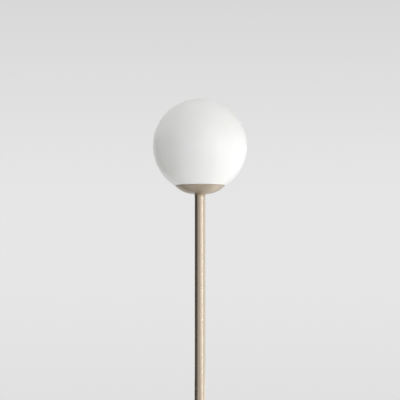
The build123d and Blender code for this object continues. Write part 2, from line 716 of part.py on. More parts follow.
def terminal_screw_y():
    """The terminal screws sit beside the leads, just clear of them."""
    return LEAD_RADIUS + TERMINAL_SCREW_HEAD + LOOSE_GAP


def holder_screws():
    """Terminal screws of the lampholder."""
    return [screw_up(side * TERMINAL_OFFSET, terminal_screw_y(), carrier_bottom, TERMINAL_DEPTH,
                     TERMINAL_SCREW_RADIUS, TERMINAL_SCREW_HEAD) for side in terminal_sides()]


def screw_shell():
    """Threaded metal shell that the bulb is screwed into."""
    return (thread_core(shell_outer_radius, carrier_top, shell_top)
            - thread_core(shell_inner_radius, carrier_top, shell_top))


def centre_contact():
    """Sprung strip under the tip of the bulb."""
    low = carrier_top + CONTACT_THICKNESS / 2
    high = contact_top - CONTACT_THICKNESS / 2
    centre_line = FilletPolyline(
        (-CONTACT_SPAN, low),
        (-CONTACT_SPAN / 3, low),
        (0, high),
        (CONTACT_SPAN / 2, high),
        radius=CONTACT_THICKNESS)
    return extrude(Plane.XZ * trace(centre_line, CONTACT_THICKNESS), CONTACT_WIDTH / 2, both=True)


# ---------------------------------------------------------------- bulb
def bulb_tip():
    """Round contact at the foot of the bulb."""
    tip = rod(TIP_RADIUS, bulb_bottom, insulator_bottom)
    return fillet(tip.edges().sort_by(Axis.Z)[0], TIP_EDGE_RADIUS)


def bulb_insulator():
    """Dark glass cone between the tip and the screw cap."""
    return turned_points([
        (0, insulator_bottom),
        (TIP_RADIUS, insulator_bottom),
        (CAP_MEAN_RADIUS - THREAD_OFFSET, insulator_top),
        (0, insulator_top),
    ])


def bulb_cap():
    """Threaded cap of the bulb, with a plain skirt above the thread."""
    inner_radius = CAP_MEAN_RADIUS - CAP_WALL
    thread = (thread_core(CAP_MEAN_RADIUS, bulb_cap_bottom, skirt_bottom)
              - thread_core(inner_radius, bulb_cap_bottom, skirt_bottom))
    skirt_inner_radius = inner_radius - THREAD_OFFSET - CAP_WALL / 2
    return thread + sleeve(CAP_SKIRT_RADIUS, skirt_inner_radius, skirt_bottom, bulb_cap_top)


def bulb_collar():
    """Plastic body of the bulb, a hollow cone that holds the electronics."""
    wall = BULB_COLLAR_WALL
    return turned_points([
        (0, bulb_cap_top),
        (BULB_COLLAR_RADIUS, bulb_cap_top),
        (BULB_COLLAR_RADIUS + wall, bulb_cap_top + wall),
        (bulb_seam_radius, bulb_seam),
        (bulb_seam_radius - wall, bulb_seam),
        (bulb_seam_radius - wall, bulb_seam - LED_BOARD_THICKNESS),
        (bulb_seam_radius - 2 * wall, bulb_seam - LED_BOARD_THICKNESS),
        (BULB_COLLAR_RADIUS, bulb_cap_top + wall),
        (0, bulb_cap_top + wall),
    ])


def led_board():
    """Round board with the light sources, let into the top of the collar."""
    return rod(bulb_seam_radius - BULB_COLLAR_WALL - SLIP_GAP, bulb_seam - LED_BOARD_THICKNESS, bulb_seam)


def driver_board():
    """Upright board of the bulb's driver, standing on the floor of the collar."""
    floor = bulb_cap_top + BULB_COLLAR_WALL
    height = bulb_seam - LED_BOARD_THICKNESS - DRIVER_BOARD_HEADROOM - floor
    return Pos(0, 0, floor) * Box(DRIVER_BOARD_WIDTH, DRIVER_BOARD_THICKNESS, height, align=BASE)


def bulb_dome():
    """Frosted dome of the bulb."""
    outer = Pos(0, 0, bulb_centre) * Sphere(BULB_RADIUS)
    inner = Pos(0, 0, bulb_centre) * Sphere(BULB_RADIUS - BULB_WALL)
    return (outer - inner) & rod(2 * BULB_RADIUS, bulb_seam, bulb_centre + 2 * BULB_RADIUS)


# ---------------------------------------------------------------- inner leads
lead_floor = weight_bottom + LEAD_FLOOR_GAP + LEAD_RADIUS
lead_behind_nut = WASHER_RADIUS + 3 * LEAD_RADIUS
lead_rise_end = BLOCK_FRONT - LEAD_RADIUS
lead_head_height = holder_floor + 2 * LEAD_RADIUS
lead_spread_height = (holder_floor + carrier_bottom) / 2 + 3 * LEAD_RADIUS


def pole_lead(side, block_x):
    """Lead from the terminal block, up the pole and out to one terminal of the lampholder."""
    beside = side * LEAD_OFFSET
    terminal_x = side * TERMINAL_OFFSET
    return lead([
        (block_x, BLOCK_FRONT + LEAD_INSERT, block_bore_height),
        (block_x, lead_rise_end, block_bore_height),
        ((block_x + beside) / 2, lead_behind_nut, lead_floor),
        (beside, 0, lead_floor),
        (beside, 0, lead_head_height),
        (terminal_x, 0, lead_spread_height),
        (terminal_x, 0, carrier_bottom + TERMINAL_DEPTH),
    ])


def live_lead():
    return pole_lead(terminal_sides()[0], block_pole_places()[0])


def neutral_lead():
    return pole_lead(terminal_sides()[1], block_pole_places()[1])


def earth_lead():
    """Short lead from the terminal block to the earth lug."""
    pole_x = block_pole_places()[2]
    barrel_mouth = LUG_CENTRE_X - LUG_RADIUS + LUG_THICKNESS - LUG_BARREL_LENGTH
    height = lug_barrel_height()
    return lead([
        (pole_x, BLOCK_FRONT + LEAD_INSERT, block_bore_height),
        (pole_x, LUG_CENTRE_Y + 4 * LEAD_RADIUS, block_bore_height),
        (barrel_mouth - 5 * LEAD_RADIUS, LUG_CENTRE_Y, height),
        (barrel_mouth + LUG_INSERT, LUG_CENTRE_Y, height),
    ])


# ---------------------------------------------------------------- the lamp
def all_pieces():
    """Every node of the lamp by name; a list is a group of alike pieces."""
    return {
        "floor_pad": floor_pad(),
        "bottom_plate": bottom_plate(),
        "plate_screws": plate_screws(),
        "base_weight": base_weight(),
        "base_cover": base_cover(),
        "cord_bush": cord_bush(),
        "cord_clamp": cord_clamp(),
        "clamp_screws": clamp_screws(),
        "terminal_block": terminal_block(),
        "terminal_screws": terminal_screws(),
        "block_screw": block_screw(),
        "earth_lug": earth_lug(),
        "earth_screw": earth_screw(),
        "foot_washer": foot_washer(),
        "foot_lock_washer": lock_washer(foot_nut_top),
        "foot_nut": hex_nut(foot_nut_top - NUT_HEIGHT),
        "foot_nipple": foot_nipple(),
        "foot_plug": foot_plug(),
        "lower_pole": pole_section(foot_top),
        "upper_pole": pole_section(pole_seam),
        "pole_socket": pole_socket(),
        "pole_stud": pole_stud(),
        "head_plug": head_plug(),
        "head_nipple": head_nipple(),
        "neck_collar": neck_collar(),
        "lamp_cup": lamp_cup(),
        "seat_ring": seat_ring(),
        "spacer_washer": spacer_washer(),
        "gallery_plate": gallery_plate(),
        "spring_clips": around(spring_clip(), CLIP_COUNT, CLIP_START),
        "clip_rivets": around(clip_rivet(), CLIP_COUNT, CLIP_START),
        "head_lock_washer": lock_washer(gallery_top),
        "head_nut": hex_nut(head_nut_bottom),
        "lampholder_cap": lampholder_cap(),
        "lampholder_body": lampholder_body(),
        "contact_carrier": contact_carrier(),
        "holder_screws": holder_screws(),
        "screw_shell": screw_shell(),
        "centre_contact": centre_contact(),
        "glass_globe": glass_globe(),
        "bulb_tip": bulb_tip(),
        "bulb_insulator": bulb_insulator(),
        "bulb_cap": bulb_cap(),
        "bulb_collar": bulb_collar(),
        "led_board": led_board(),
        "driver_board": driver_board(),
        "bulb_dome": bulb_dome(),
        "live_lead": live_lead(),
        "neutral_lead": neutral_lead(),
        "earth_lead": earth_lead(),
    }


def main():
    os.makedirs("parts", exist_ok=True)
    for node, shape in all_pieces().items():
        if isinstance(shape, list):
            shape = Compound(children=shape)
        export_step(shape, f"parts/{node}.step")
    print("lamp height", round(globe_centre + GLOBE_RADIUS, 2))


main()
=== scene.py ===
"""Looks of the globe floor lamp: opal glass ball, lacquered cup, collar, pole, foot and what is inside.

Metres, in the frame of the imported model: the floor is z = 0, the pole is on the Z axis, -Y is the front.
New pieces are surfaces turned about the pole's axis or strips carried along a path, made as arrays.
An outline is an array of rows (radius, height, ease): ease is how far from a corner its rounding starts.
"""
import json

import bpy
import numpy as np
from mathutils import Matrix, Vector


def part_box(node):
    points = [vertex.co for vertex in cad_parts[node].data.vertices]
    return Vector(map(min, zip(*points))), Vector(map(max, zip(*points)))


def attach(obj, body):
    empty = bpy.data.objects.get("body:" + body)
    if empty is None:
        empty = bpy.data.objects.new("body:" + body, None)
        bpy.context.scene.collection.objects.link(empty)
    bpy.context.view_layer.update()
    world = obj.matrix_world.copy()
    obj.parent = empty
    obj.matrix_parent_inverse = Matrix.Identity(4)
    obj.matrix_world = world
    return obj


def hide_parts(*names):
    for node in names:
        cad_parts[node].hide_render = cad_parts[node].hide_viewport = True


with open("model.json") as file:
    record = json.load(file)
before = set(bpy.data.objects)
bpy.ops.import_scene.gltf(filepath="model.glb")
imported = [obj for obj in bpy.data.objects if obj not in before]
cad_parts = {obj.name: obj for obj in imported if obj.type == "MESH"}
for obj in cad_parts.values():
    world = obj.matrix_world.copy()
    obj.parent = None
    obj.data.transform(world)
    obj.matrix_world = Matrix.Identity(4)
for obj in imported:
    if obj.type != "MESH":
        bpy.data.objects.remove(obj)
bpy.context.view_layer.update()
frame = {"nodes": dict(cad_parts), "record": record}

# ---------------------------------------------------------------- sizes that the frame doesn't give
GLASS_WALL = 0.003
GLASS_EDGE = 0.0004
CUP_WALL = 0.0012
CUP_LIP = 0.0006
CUP_FLAT_RADIUS = 0.014
CUP_HOLE_RADIUS = 0.0053
TUBE_WALL = 0.0015
TUBE_EDGE = 0.0003
COVER_WALL = 0.0015
COVER_EDGE_RADIUS = 0.0025
COVER_HOLE_RADIUS = 0.0053
BUSH_BORE_RADIUS = 0.0035
BULB_WALL = 0.0012
THREAD_PITCH = 0.003629
THREAD_OFFSET = 0.00055
THREAD_WALL = 0.0005
CAP_THREAD_RADIUS = 0.0127
SHELL_THREAD_RADIUS = 0.0135
GLASS_RIM_GAP = 0.0004
GLASS_HOLE_RADIUS = 0.039
BUSH_LIP = 0.001
BUSH_LIP_LENGTH = 0.004
CAP_SKIRT_HEIGHT = 0.0037
THREAD_STEPS = 16
BULB_BODY_WALL = 0.0015
BULB_FOOT_RADIUS = 0.014
COLLAR_GROOVES = 28
COLLAR_GROOVE_DEPTH = 0.0007
HOLDER_HOLE_RADIUS = 0.0052
HOLDER_BORE_RADIUS = 0.01435
HOLDER_FOOT_RADIUS = 0.010
HOLDER_SHOULDER = 0.010
HOLDER_FLARE = 0.25
HOLDER_FLOOR = 0.0064
HOLDER_LEDGE = 0.0015
HOLDER_SLIP = 0.00005
HOLDER_EDGE = 0.0015
HOLDER_GROOVES = 48
HOLDER_GROOVE_DEPTH = 0.0005
CLIP_THICKNESS = 0.0006
CLIP_WIDTH = 0.008
CLIP_FOOT_LENGTH = 0.008
CLIP_RISE = 0.005
CLIP_GAP = 0.0003
CLIP_COUNT = 3
CLIP_START = 90            # bearing of the first clip, in degrees from +X
STEPS_PER_COLLAR_GROOVE = 8
STEPS_PER_HOLDER_GROOVE = 6

# ---------------------------------------------------------------- how far from a corner its rounding starts
BROKEN_EDGE = 0.0001
FINE_EDGE = 0.0002
SMALL_EDGE = 0.0003
SOFT_EDGE = 0.0004
ROUND_EDGE = 0.0005
MOUTH_EDGE = 0.0006

# ---------------------------------------------------------------- values of the finishes
LACQUER_DARK = (0.46, 0.385, 0.295)
LACQUER_LIGHT = (0.49, 0.41, 0.315)
LACQUER_HAZE = 0.03        # how much duller than its given roughness a finish gets in places
GLAZE_HAZE = 0.08
COAT_ROUGHNESS = 0.18
OPAL_COAT = 0.6
OPAL_GLOW = 1.0
OPAL_DEPTH = 0.002
OPAL_COAT_ROUGHNESS = 0.25
MILKY_SPREAD = (1.0, 0.97, 0.92)     # how far red, green and blue reach under the skin
PLASTIC_DEPTH = 0.002
PLASTIC_SHADE = 0.96       # brightness of the darker tone, as a part of the colour
SLEEVE_SHADE = 0.85
SILICONE_GLOW = 0.4
SILICONE_DEPTH = 0.003
GLASS_IOR = 1.5
MARKS_SHINE = 0.07         # how far the marks of a worked metal go under and over its given roughness
MARKS_DULL = 0.1

# ---------------------------------------------------------------- outlines and meshes
CORNER_STEPS = 6
HOLD = 1.7                 # a row this many eases from a corner keeps the flat beside it flat
SAME_PLACE = 1e-7
UPWARDS = 90               # angles of an arc, in degrees
DOWNWARDS = -90


def row(radius, height, ease=0.0):
    """One corner of an outline."""
    return np.array([[radius, height, ease]])


def arc(centre, radius, start, end, count, ease_first=0.0, ease_last=0.0):
    """Rows on a circle: centre plus radius times (cos, sin) of evenly spaced angles in degrees."""
    angle = np.radians(np.linspace(start, end, count))
    ease = np.zeros(count)
    ease[0] = ease_first
    ease[-1] = ease_last
    return np.column_stack((centre[0] + radius * np.cos(angle), centre[1] + radius * np.sin(angle), ease))


def arc_angle(centre, height, radius):
    """Angle in degrees at which a circle passes a height, on its outer side."""
    return np.degrees(np.arcsin((height - centre[1]) / radius))


def softened(rows, closed):
    """Rounds each corner C with the curve (1-t)^2 A + 2t(1-t) C + t^2 B.

    A and B lie on the two sides at the corner's ease from C. Rows in the same place are left out.
    """
    corner = rows[:, :2]
    before = np.roll(corner, 1, axis=0) - corner
    after = np.roll(corner, -1, axis=0) - corner
    if not closed:
        before[0] = after[0]
        after[-1] = before[-1]
    ease = rows[:, 2:]
    to_before = ease * before / np.maximum(np.linalg.norm(before, axis=1, keepdims=True), SAME_PLACE)
    to_after = ease * after / np.maximum(np.linalg.norm(after, axis=1, keepdims=True), SAME_PLACE)
    t = np.linspace(0, 1, CORNER_STEPS)[None, :, None]
    start = (corner + to_before)[:, None]
    end = (corner + to_after)[:, None]
    bend = (1 - t) ** 2 * start + 2 * t * (1 - t) * corner[:, None] + t ** 2 * end
    hold_in = (corner + HOLD * to_before)[:, None]
    hold_out = (corner + HOLD * to_after)[:, None]
    points = np.concatenate((hold_in, bend, hold_out), axis=1).reshape(-1, 2)
    step = np.linalg.norm(points - np.roll(points, 1, axis=0), axis=1)
    step[0] = 1
    return points[step > SAME_PLACE]


def counter_clockwise(points):
    """Turns an outline so that its solid lies on the left, which makes the faces point outwards."""
    r, z = points.T
    area = np.sum(r * np.roll(z, -1) - np.roll(r, -1) * z)
    return points if area > 0 else points[::-1]


def grid_quads(rows, columns, wrap_rows):
    """Corner numbers of the quads of a grid whose columns close round."""
    i = np.arange(rows if wrap_rows else rows - 1)[:, None]
    j = np.arange(columns)[None, :]
    next_i = (i + 1) % rows
    next_j = (j + 1) % columns
    quads = np.stack(np.broadcast_arrays(
        i * columns + j, i * columns + next_j, next_i * columns + next_j, next_i * columns + j), axis=-1)
    return quads.reshape(-1, 4)


def turned_shape(rows, steps=128, swing=None, ribs=None):
    """Surface of revolution: the row (r, z) at turn t lies at (r cos t, r sin t, z).

    An outline that starts and ends on the axis is closed there by a fan; any other is closed on itself.
    swing(z) moves each ring's centre round the axis, for a rounded screw thread.
    ribs(r, z, t) is added to the radius, for grooves.
    """
    on_axis = rows[0, 0] < SAME_PLACE
    outline = counter_clockwise(softened(rows, not on_axis))
    rings = outline[1:-1] if on_axis else outline
    turn = np.linspace(0, 2 * np.pi, steps, endpoint=False)[None, :]
    height = rings[:, 1:2]
    radius = rings[:, :1] + (ribs(rings[:, :1], height, turn) if ribs else 0.0)
    centre_x, centre_y = swing(height) if swing else (0.0, 0.0)
    points = np.stack(np.broadcast_arrays(
        centre_x + radius * np.cos(turn), centre_y + radius * np.sin(turn), height), axis=-1).reshape(-1, 3)
    faces = grid_quads(len(rings), steps, not on_axis).tolist()
    if on_axis:
        poles = np.column_stack((np.zeros(2), np.zeros(2), outline[[0, -1], 1]))
        j = np.arange(steps)
        following = (j + 1) % steps
        first = np.column_stack((np.full(steps, len(points)), following, j))
        top = (len(rings) - 1) * steps
        last = np.column_stack((np.full(steps, len(points) + 1), top + j, top + following))
        points = np.vstack((points, poles))
        faces += first.tolist() + last.tolist()
    return points, faces


def strip_shape(path, width, thickness, corner=0.3):
    """Strip carried along a path in the (radius, height) plane.

    Each path point carries a flat rounded section: across the path by the thickness, along Y by the width.
    """
    along = np.gradient(path, axis=0)
    along /= np.linalg.norm(along, axis=1, keepdims=True)
    across = np.column_stack((-along[:, 1], along[:, 0]))
    round_off = corner * thickness
    quarters = 90 * np.arange(4)[:, None] + np.array([0, 45, 90])
    angle = np.radians(quarters.ravel())
    side_y = np.repeat([1, -1, -1, 1], 3)
    side_n = np.repeat([1, 1, -1, -1], 3)
    section_y = side_y * (width / 2 - round_off) + round_off * np.cos(angle)
    section_n = side_n * (thickness / 2 - round_off) + round_off * np.sin(angle)
    flat = path[:, None, :] + across[:, None, :] * section_n[None, :, None]
    points = np.stack(np.broadcast_arrays(flat[..., 0], section_y[None, :], flat[..., 1]), axis=-1)
    count = len(section_y)
    faces = grid_quads(len(path), count, False).tolist()
    last = (len(path) - 1) * count
    faces.append(list(range(count - 1, -1, -1)))
    faces.append(list(range(last, last + count)))
    return points.reshape(-1, 3), faces


def bent_path(corners, ease):
    """A strip's path with rounded corners, in (radius, height)."""
    corners = np.array(corners)
    eases = np.full(len(corners), ease)
    eases[[0, -1]] = 0
    return softened(np.column_stack((corners, eases)), closed=False)


def repeated(shape, count, start=0.0):
    """The same shape turned about the axis, count times round."""
    points, faces = shape
    all_points = []
    all_faces = []
    for index in range(count):
        angle = np.radians(start + 360 * index / count)
        turn = np.array([[np.cos(angle), -np.sin(angle), 0], [np.sin(angle), np.cos(angle), 0], [0, 0, 1]])
        all_points.append(points @ turn.T)
        all_faces += [[corner + index * len(points) for corner in face] for face in faces]
    return np.vstack(all_points), all_faces


def about_y(shape, height):
    """Turns a shape's axis from +Z to +Y and lifts it to a height."""
    points, faces = shape
    x, y, z = points.T
    return np.column_stack((x, z, height - y)), faces


def into_scene(name, data):
    """A new object in the scene that holds the given data."""
    made = bpy.data.objects.new(name, data)
    bpy.context.scene.collection.objects.link(made)
    return made


def mesh_object(name, shape):
    """A new object in the scene made of a shape's points and faces."""
    points, faces = shape
    mesh = bpy.data.meshes.new(name)
    mesh.from_pydata(points.tolist(), [], faces)
    return into_scene(name, mesh)


def piece(name, shape, material, node):
    """Makes the mesh, gives it its finish and lets it stand for its CAD node on the same body."""
    made = mesh_object(name, shape)
    mesh = made.data
    mesh.validate()
    mesh.polygons.foreach_set("use_smooth", np.ones(len(mesh.polygons), bool))
    mesh.materials.append(material)
    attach(made, body_of_node(node))
    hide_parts(node)
    return made


def body_of_node(node):
    """The body that the record puts a node in."""
    bodies = frame["record"]["behaviour"]["bodies"]
    return next(body for body, members in bodies.items() if node in members)


def span(node):
    """Outer radius, lowest and highest height of a round node."""
    low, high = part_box(node)
    return (high.x - low.x) / 2, low.z, high.z


# ---------------------------------------------------------------- finishes
def finish_named(name):
    """A new material with its shader, ready for its nodes."""
    material = bpy.data.materials.new(name)
    material.use_nodes = True
    return material, material.node_tree.nodes["Principled BSDF"]


def add_node(material, kind, **values):
    """Adds one node; values go to its sockets by name, or to its own settings."""
    node = material.node_tree.nodes.new(kind)
    for key, value in values.items():
        if key in node.inputs:
            node.inputs[key].default_value = value
        else:
            setattr(node, key, value)
    return node


def link(material, output, target):
    """Joins a node's output to a socket."""
    material.node_tree.links.new(output, target)


def object_place(material, stretch=(1, 1, 1)):
    """Object coordinates, in metres, with a stretch along each axis."""
    coordinates = add_node(material, "ShaderNodeTexCoord")
    mapping = add_node(material, "ShaderNodeMapping")
    mapping.inputs["Scale"].default_value = stretch
    link(material, coordinates.outputs["Object"], mapping.inputs["Vector"])
    return mapping.outputs["Vector"]


def grain(material, per_metre, detail=3.0, roughness=0.5, stretch=(1, 1, 1)):
    """Cloudy noise with so many features to the metre."""
    noise = add_node(material, "ShaderNodeTexNoise", Scale=per_metre, Detail=detail, Roughness=roughness)
    link(material, object_place(material, stretch), noise.inputs["Vector"])
    return noise.outputs["Fac"]


def pits(material, per_metre):
    """Round cells, as in foam or a cast surface."""
    cells = add_node(material, "ShaderNodeTexVoronoi", Scale=per_metre)
    link(material, object_place(material), cells.inputs["Vector"])
    return cells.outputs["Distance"]


def between(material, factor, low, high, from_low=0.3, from_high=0.7):
    """A number that runs from low to high as the factor does from from_low to from_high."""
    node = add_node(material, "ShaderNodeMapRange")
    for socket, value in zip(node.inputs[1:5], (from_low, from_high, low, high)):
        socket.default_value = value
    link(material, factor, node.inputs["Value"])
    return node.outputs["Result"]


def tones(material, factor, dark, light, from_low=0.3, from_high=0.7):
    """A colour that runs from dark to light with the factor."""
    ramp = add_node(material, "ShaderNodeValToRGB")
    ramp.color_ramp.elements[0].position = from_low
    ramp.color_ramp.elements[0].color = (*dark, 1)
    ramp.color_ramp.elements[1].position = from_high
    ramp.color_ramp.elements[1].color = (*light, 1)
    link(material, factor, ramp.inputs["Fac"])
    return ramp.outputs["Color"]


def relief(material, shader, height, depth, strength=1.0, under=None):
    """Raises the surface by depth metres where the height is 1, on top of another relief if one is given."""
    bump = add_node(material, "ShaderNodeBump", Distance=depth, Strength=strength)
    link(material, height, bump.inputs["Height"])
    if under:
        link(material, under, bump.inputs["Normal"])
    link(material, bump.outputs["Normal"], shader.inputs["Normal"])
    return bump.outputs["Normal"]


def shaded(colour, part):
    """A colour with each channel brought down to a part of itself."""
    return tuple(part * channel for channel in colour)


def tint(material, shader, factor, dark, light, **stops):
    """Colours the surface from dark to light with the factor."""
    link(material, tones(material, factor, dark, light, **stops), shader.inputs["Base Color"])


def dullness(material, shader, factor, low, high):
    """Makes the surface as rough as low to high with the factor."""
    link(material, between(material, factor, low, high), shader.inputs["Roughness"])


def milky(shader, weight, depth):
    """Lets light spread under the skin, red a little further than blue."""
    shader.inputs["Subsurface Weight"].default_value = weight
    shader.inputs["Subsurface Radius"].default_value = MILKY_SPREAD
    shader.inputs["Subsurface Scale"].default_value = depth


def sand_lacquer(name, roughness, metallic, coat):
    """Sand-coloured metallic lacquer under a clear coat, with faint orange peel and a cloudy tone."""
    material, shader = finish_named(name)
    cloud = grain(material, per_metre=9, detail=4)
    tint(material, shader, cloud, LACQUER_DARK, LACQUER_LIGHT)
    dullness(material, shader, grain(material, per_metre=25), roughness, roughness + LACQUER_HAZE)
    shader.inputs["Metallic"].default_value = metallic
    shader.inputs["Coat Weight"].default_value = coat
    shader.inputs["Coat Roughness"].default_value = COAT_ROUGHNESS
    peel = grain(material, per_metre=900, detail=2)
    relief(material, shader, peel, depth=0.000004, strength=0.35)
    return material


def opal_glass():
    """Matt etched opal glass: white all through, with a soft inner glow and a barely uneven surface."""
    material, shader = finish_named("opal_glass")
    cloud = grain(material, per_metre=14, detail=2)
    tint(material, shader, cloud, (0.905, 0.905, 0.895), (0.93, 0.93, 0.925))
    dullness(material, shader, grain(material, per_metre=200), 0.48, 0.56)
    milky(shader, OPAL_GLOW, OPAL_DEPTH)
    shader.inputs["IOR"].default_value = GLASS_IOR
    shader.inputs["Coat Weight"].default_value = OPAL_COAT
    shader.inputs["Coat Roughness"].default_value = OPAL_COAT_ROUGHNESS
    blown = relief(material, shader, grain(material, per_metre=16, detail=1), depth=0.0004, strength=0.25)
    etched = grain(material, per_metre=1800, detail=1)
    relief(material, shader, etched, depth=0.00001, strength=0.3, under=blown)
    return material


def frosted_plastic(name, colour, glow):
    """White moulded plastic with a fine satin grain, slightly see-through."""
    material, shader = finish_named(name)
    darker = shaded(colour, PLASTIC_SHADE)
    tint(material, shader, grain(material, per_metre=30), darker, colour)
    dullness(material, shader, grain(material, per_metre=400), 0.38, 0.5)
    milky(shader, glow, PLASTIC_DEPTH)
    relief(material, shader, grain(material, per_metre=2500, detail=1), depth=0.00001, strength=0.4)
    return material


def dark_plastic():
    """Black moulded thermoset with a dull skin."""
    material, shader = finish_named("black_plastic")
    tint(material, shader, grain(material, per_metre=120), (0.012, 0.012, 0.012), (0.022, 0.022, 0.021))
    dullness(material, shader, grain(material, per_metre=500), 0.36, 0.52)
    relief(material, shader, grain(material, per_metre=2600, detail=2), depth=0.00002, strength=0.5)
    return material


def worked_metal(name, dark, light, roughness, scratches=300, stretch=(1, 1, 12)):
    """Bare or plated metal with fine marks of the tool."""
    material, shader = finish_named(name)
    tint(material, shader, grain(material, per_metre=80, detail=4), dark, light)
    marks = grain(material, per_metre=scratches, detail=4, stretch=stretch)
    dullness(material, shader, marks, roughness - MARKS_SHINE, roughness + MARKS_DULL)
    shader.inputs["Metallic"].default_value = 1.0
    relief(material, shader, marks, depth=0.00002, strength=0.4)
    return material


def foam():
    """Dark closed-cell foam."""
    material, shader = finish_named("floor_foam")
    cells = pits(material, per_metre=900)
    tint(material, shader, cells, (0.035, 0.035, 0.036), (0.012, 0.012, 0.012), from_low=0.1, from_high=0.7)
    dullness(material, shader, cells, 0.8, 0.95)
    relief(material, shader, cells, depth=0.0002, strength=0.5)
    return material


def silicone():
    """Milky silicone rubber."""
    material, shader = finish_named("clear_silicone")
    tint(material, shader, grain(material, per_metre=150), (0.66, 0.66, 0.63), (0.74, 0.74, 0.71))
    dullness(material, shader, grain(material, per_metre=700), 0.4, 0.55)
    milky(shader, SILICONE_GLOW, SILICONE_DEPTH)
    relief(material, shader, grain(material, per_metre=1500), depth=0.00002, strength=0.4)
    return material


def cast_iron():
    """Sand-cast iron under a thin dark primer."""
    material, shader = finish_named("cast_iron")
    lumps = grain(material, per_metre=350, detail=6, roughness=0.65)
    tint(material, shader, lumps, (0.03, 0.03, 0.031), (0.08, 0.078, 0.074))
    dullness(material, shader, lumps, 0.6, 0.85)
    shader.inputs["Metallic"].default_value = 0.4
    relief(material, shader, lumps, depth=0.0005, strength=0.6)
    return material


def black_steel():
    """Steel sheet with a matt black coat."""
    material, shader = finish_named("black_steel")
    tint(material, shader, grain(material, per_metre=25, detail=4), (0.018, 0.018, 0.018), (0.03, 0.03, 0.03))
    dullness(material, shader, grain(material, per_metre=300), 0.45, 0.6)
    relief(material, shader, grain(material, per_metre=1200, detail=2), depth=0.00004, strength=0.5)
    return material


def glossy_glaze(name, dark, light, roughness):
    """Glazed ceramic or coloured glass: smooth and shiny, with a faint cloud in it."""
    material, shader = finish_named(name)
    tint(material, shader, grain(material, per_metre=200), dark, light)
    dullness(material, shader, grain(material, per_metre=90), roughness, roughness + GLAZE_HAZE)
    relief(material, shader, grain(material, per_metre=300, detail=1), depth=0.00004, strength=0.2)
    return material


def moulded_sleeve(name, colour):
    """Plastic insulation of a lead."""
    material, shader = finish_named(name)
    darker = shaded(colour, SLEEVE_SHADE)
    tint(material, shader, grain(material, per_metre=500), darker, colour)
    dullness(material, shader, grain(material, per_metre=900), 0.35, 0.5)
    return material


def finishes():
    """Every finish by the record's slot name, and two more looks of the lacquer."""
    return {
        "sand_lacquer": sand_lacquer("sand_lacquer", roughness=0.33, metallic=0.85, coat=0.9),
        "soft_lacquer": sand_lacquer("soft_lacquer", roughness=0.42, metallic=0.7, coat=0.3),
        "dull_lacquer": sand_lacquer("dull_lacquer", roughness=0.55, metallic=0.9, coat=0.0),
        "opal_glass": opal_glass(),
        "bulb_white": frosted_plastic("bulb_white", (0.9, 0.9, 0.88), glow=0.5),
        "white_plastic": frosted_plastic("white_plastic", (0.8, 0.8, 0.78), glow=0.1),
        "board_white": frosted_plastic("board_white", (0.75, 0.75, 0.72), glow=0.0),
        "board_green": glossy_glaze("board_green", (0.02, 0.11, 0.04), (0.03, 0.15, 0.06), roughness=0.3),
        "black_plastic": dark_plastic(),
        "zinc_steel": worked_metal("zinc_steel", (0.48, 0.49, 0.5), (0.6, 0.6, 0.6), roughness=0.34),
        "spring_steel": worked_metal("spring_steel", (0.36, 0.36, 0.37), (0.46, 0.46, 0.47), roughness=0.28),
        "brass": worked_metal("brass", (0.62, 0.42, 0.16), (0.74, 0.52, 0.22), roughness=0.3),
        "nickel_cap": worked_metal("nickel_cap", (0.6, 0.58, 0.54), (0.7, 0.68, 0.63), roughness=0.26),
        "solder": worked_metal("solder", (0.45, 0.45, 0.45), (0.58, 0.58, 0.57), roughness=0.4),
        "floor_foam": foam(),
        "clear_silicone": silicone(),
        "cast_iron": cast_iron(),
        "black_steel": black_steel(),
        "white_ceramic": glossy_glaze("white_ceramic", (0.72, 0.71, 0.66), (0.8, 0.79, 0.74), roughness=0.18),
        "dark_glass": glossy_glaze("dark_glass", (0.008, 0.008, 0.01), (0.015, 0.015, 0.018), roughness=0.08),
        "brown_sleeve": moulded_sleeve("brown_sleeve", (0.1, 0.035, 0.015)),
        "blue_sleeve": moulded_sleeve("blue_sleeve", (0.02, 0.08, 0.35)),
        "green_sleeve": moulded_sleeve("green_sleeve", (0.08, 0.3, 0.04)),
    }


# ---------------------------------------------------------------- globe, cup, collar, pole
def cup_arc():
    """Centre and outer radius of the arc in the cup's side: level at the flat and passing through the rim."""
    rim_radius, bottom, rim = span("lamp_cup")
    rise = rim - bottom
    radius = ((rim_radius - CUP_FLAT_RADIUS) ** 2 + rise ** 2) / (2 * rise)
    return (CUP_FLAT_RADIUS, bottom + radius), radius


def globe_shape():
    """Full ball down to the ledge over the cup's rim, smaller ball below it, ground hole, inner ball."""
    radius, bottom, top = span("glass_globe")
    centre = (0.0, top - radius)
    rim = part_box("lamp_cup")[1].z
    ledge = rim + GLASS_RIM_GAP
    hole_edge = GLASS_HOLE_RADIUS + GLASS_WALL
    sunk = np.hypot(hole_edge, centre[1] - bottom)
    inner = radius - GLASS_WALL
    ledge_angle = arc_angle(centre, ledge, radius)
    sunk_start = arc_angle(centre, ledge, sunk)
    sunk_end = arc_angle(centre, bottom, sunk)
    inner_end = -np.degrees(np.arccos(GLASS_HOLE_RADIUS / inner))
    return turned_shape(np.vstack((
        arc(centre, radius, UPWARDS, ledge_angle, count=160, ease_last=GLASS_EDGE),
        arc(centre, sunk, sunk_start, sunk_end, count=12, ease_last=GLASS_EDGE),
        row(GLASS_HOLE_RADIUS, bottom, GLASS_EDGE),
        arc(centre, inner, inner_end, UPWARDS, count=120),
    )), steps=224)


